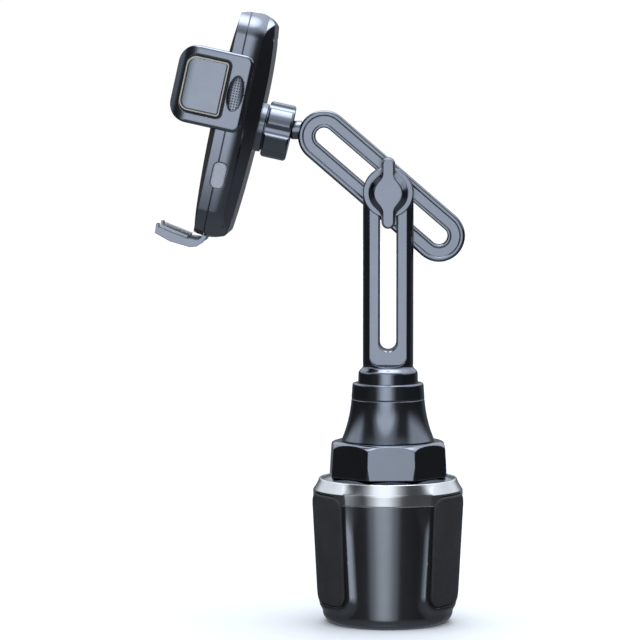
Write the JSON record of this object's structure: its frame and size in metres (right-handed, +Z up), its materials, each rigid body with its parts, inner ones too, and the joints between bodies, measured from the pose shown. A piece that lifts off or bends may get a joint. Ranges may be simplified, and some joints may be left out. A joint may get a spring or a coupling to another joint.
{
  "type": "car phone mount",
  "caption": "Phone cradle with sliding grips and foot on a ball joint, slotted arm and slotted mast, held by an expanding cup-holder base.",
  "frame": {"origin": "centre of the base's flat underside, on the mast axis", "axes": "+Z up along the mast; -X towards the side that the phone faces; -Y towards the wing knob's side"},
  "size_m": [0.1451, 0.0849, 0.2862],
  "materials": {
    "body_plastic": "satin",
    "gloss_black": "gloss",
    "satin_chrome": "satin",
    "pad_rubber": "matte",
    "nylon": "matte",
    "steel": "satin",
    "brass": "satin",
    "bezel_metal": "satin",
    "badge_grey": "satin",
    "light_grey": "satin"
  },
  "bodies": {
    "base": {"base_shell": "gloss_black", "bottom_plate": "gloss_black", "trim_ring": "satin_chrome", "top_cover": "gloss_black", "spindle": "nylon", "base_screws": "steel", "bell": "body_plastic", "bell_screw": "steel", "retaining_clip": "steel"},
    "knob": {"adjust_knob": "body_plastic"},
    "expander": {"expander": "nylon"},
    "wing_1": {"wing_1": "nylon", "wing_pad_1": "pad_rubber"},
    "wing_2": {"wing_2": "nylon", "wing_pad_2": "pad_rubber"},
    "wing_3": {"wing_3": "nylon", "wing_pad_3": "pad_rubber"},
    "mast": {"mast": "body_plastic", "neck_ring": "body_plastic", "mast_screw": "steel"},
    "clamp": {"clamp_bolt": "steel", "mast_bush": "nylon", "friction_washer": "pad_rubber", "flange_washer": "body_plastic"},
    "wing_knob": {"wing_knob": "body_plastic", "knob_insert": "brass"},
    "slot_key": {"slot_key": "nylon"},
    "upper_arm": {"upper_arm": "body_plastic", "ball_stud": "body_plastic"},
    "ball_collet": {"ball_collet": "nylon"},
    "friction_pad": {"friction_pad": "pad_rubber"},
    "cradle": {"rear_cover": "body_plastic", "front_cover": "body_plastic", "front_pad": "pad_rubber", "cover_screws": "steel", "ball_socket": "body_plastic", "socket_screws": "steel", "pinion_pin": "steel", "near_spring": "steel", "far_spring": "steel"},
    "clamp_nut": {"clamp_nut": "body_plastic"},
    "near_grip": {"near_grip": "body_plastic", "near_grip_pad": "pad_rubber", "near_bezel": "bezel_metal", "near_badge": "badge_grey"},
    "far_grip": {"far_grip": "body_plastic", "far_grip_pad": "pad_rubber", "far_bezel": "bezel_metal", "far_badge": "badge_grey"},
    "pinion": {"pinion": "nylon"},
    "near_button": {"near_button": "light_grey"},
    "far_button": {"far_button": "light_grey"},
    "near_pawl": {"near_pawl": "nylon"},
    "far_pawl": {"far_pawl": "nylon"},
    "foot": {"foot_bracket": "body_plastic", "foot_pads": "light_grey"}
  },
  "joints": [
    {"name": "knob_turn", "type": "hinge", "parent": "base", "child": "knob", "pos_m": [0, 0, 0.0774], "axis": [0, 0, -1], "range_deg": [0, 900]},
    {"name": "expander_slide", "type": "slide", "parent": "base", "child": "expander", "axis": [0, 0, -1], "range_m": [0, 0.02001]},
    {"name": "wing_1_slide", "type": "slide", "parent": "base", "child": "wing_1", "axis": [0.866, -0.5, 0], "range_m": [0, 0.00701]},
    {"name": "wing_2_slide", "type": "slide", "parent": "base", "child": "wing_2", "axis": [-0.866, -0.5, 0], "range_m": [0, 0.00701]},
    {"name": "wing_3_slide", "type": "slide", "parent": "base", "child": "wing_3", "axis": [0, 1, 0], "range_m": [0, 0.00701]},
    {"name": "mast_swivel", "type": "hinge", "parent": "base", "child": "mast", "pos_m": [0, 0, 0.105], "axis": [0, 0, 1], "continuous": true},
    {"name": "clamp_slide", "type": "slide", "parent": "mast", "child": "clamp", "axis": [0, 0, 1], "range_m": [-0.055, 0]},
    {"name": "wing_knob_turn", "type": "hinge", "parent": "clamp", "child": "wing_knob", "pos_m": [0, 0, 0.2023], "axis": [0, 1, 0], "range_deg": [0, 360]},
    {"name": "arm_pivot", "type": "hinge", "parent": "clamp", "child": "slot_key", "pos_m": [0, 0, 0.2023], "axis": [0, 1, 0], "range_deg": [-30, 60]},
    {"name": "arm_slide", "type": "slide", "parent": "slot_key", "child": "upper_arm", "axis": [0.757, 0, -0.6534], "range_m": [-0.026, 0.035]},
    {"name": "ball_tilt", "type": "hinge", "parent": "upper_arm", "child": "ball_collet", "pos_m": [-0.0543, 0.0135, 0.2312], "axis": [0, 1, 0], "range_deg": [-30, 8]},
    {"name": "ball_pan", "type": "hinge", "parent": "ball_collet", "child": "friction_pad", "pos_m": [-0.0543, 0.0135, 0.2312], "axis": [0.2164, 0, 0.9763], "range_deg": [-15, 15]},
    {"name": "ball_spin", "type": "hinge", "parent": "friction_pad", "child": "cradle", "pos_m": [-0.0543, 0.0135, 0.2312], "axis": [-0.9763, 0, 0.2164], "continuous": true},
    {"name": "clamp_nut_turn", "type": "hinge", "parent": "cradle", "child": "clamp_nut", "pos_m": [-0.0543, 0.0135, 0.2312], "axis": [0.9763, 0, -0.2164], "range_deg": [0, 360]},
    {"name": "near_grip_slide", "type": "slide", "parent": "cradle", "child": "near_grip", "axis": [0, -1, 0], "range_m": [0, 0.014], "deforming": ["near_spring", "far_spring"]},
    {"name": "far_grip_slide", "type": "slide", "parent": "cradle", "child": "far_grip", "axis": [0, 1, 0], "range_m": [0, 0.01401]},
    {"name": "pinion_turn", "type": "hinge", "parent": "cradle", "child": "pinion", "pos_m": [-0.0676, 0.0135, 0.24746], "axis": [0.9763, 0, -0.2164], "range_deg": [0, 134]},
    {"name": "near_button_press", "type": "slide", "parent": "cradle", "child": "near_button", "axis": [0, 1, 0], "range_m": [0, 0.0015], "stiffness_N_per_m": 300, "springref_m": -0.002},
    {"name": "far_button_press", "type": "slide", "parent": "cradle", "child": "far_button", "axis": [0, -1, 0], "range_m": [0, 0.0015], "stiffness_N_per_m": 300, "springref_m": -0.002},
    {"name": "near_pawl_slide", "type": "slide", "parent": "cradle", "child": "near_pawl", "axis": [-0.2164, 0, -0.9763], "range_m": [0, 0.00101]},
    {"name": "far_pawl_slide", "type": "slide", "parent": "cradle", "child": "far_pawl", "axis": [-0.2164, 0, -0.9763], "range_m": [0, 0.00101]},
    {"name": "foot_slide", "type": "slide", "parent": "cradle", "child": "foot", "axis": [-0.2164, 0, -0.9763], "range_m": [0, 0.015]}
  ],
  "couplings": [
    {"joint": "expander_slide", "follows": "knob_turn", "m_per_rad": 0.0012732},
    {"joint": "wing_1_slide", "follows": "knob_turn", "m_per_rad": 0.00044563},
    {"joint": "wing_2_slide", "follows": "knob_turn", "m_per_rad": 0.00044563},
    {"joint": "wing_3_slide", "follows": "knob_turn", "m_per_rad": 0.00044563},
    {"joint": "far_grip_slide", "follows": "near_grip_slide", "ratio": 1},
    {"joint": "pinion_turn", "follows": "near_grip_slide", "rad_per_m": 166.67},
    {"joint": "near_pawl_slide", "follows": "near_button_press", "ratio": 0.6667},
    {"joint": "far_pawl_slide", "follows": "far_button_press", "ratio": 0.6667}
  ]
}
